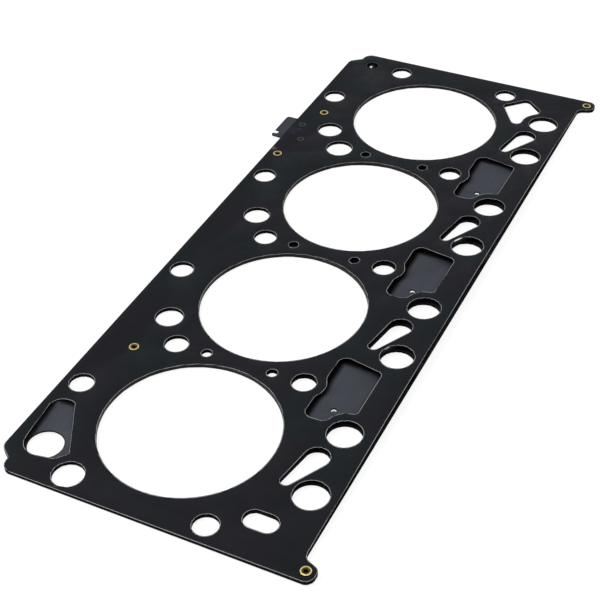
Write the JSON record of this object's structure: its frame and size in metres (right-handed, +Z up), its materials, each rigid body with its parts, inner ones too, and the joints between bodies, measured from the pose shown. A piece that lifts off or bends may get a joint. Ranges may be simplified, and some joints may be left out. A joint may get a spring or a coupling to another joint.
{
  "type": "cylinder head gasket",
  "caption": "Flat multi-layer steel head gasket with large bores, bolt holes, pushrod and fluid passages, pocket windows, riveted ears and a notched identity tab.",
  "frame": {"origin": "middle of the line of bores, on the surface that the eyelets stand on", "axes": "+X along the line of bores towards the end with the kite-shaped passage, +Y to the long edge with the tab, +Z up out of the upper sheet"},
  "size_m": [0.4312, 0.1785, 0.0065],
  "materials": {
    "black_coating": "satin",
    "bare_steel": "matt",
    "ring_steel": "satin",
    "eyelet_brass": "satin"
  },
  "bodies": {
    "root": {"upper_layer": "black_coating", "distance_layer": "bare_steel", "lower_layer": "black_coating", "bore_ring_1": "ring_steel", "bore_ring_2": "ring_steel", "bore_ring_3": "ring_steel", "bore_ring_4": "ring_steel", "eyelet_near_ear": "eyelet_brass", "eyelet_far_ear": "eyelet_brass", "eyelet_near": "eyelet_brass", "eyelet_middle": "eyelet_brass", "eyelet_far": "eyelet_brass"}
  },
  "joints": []
}
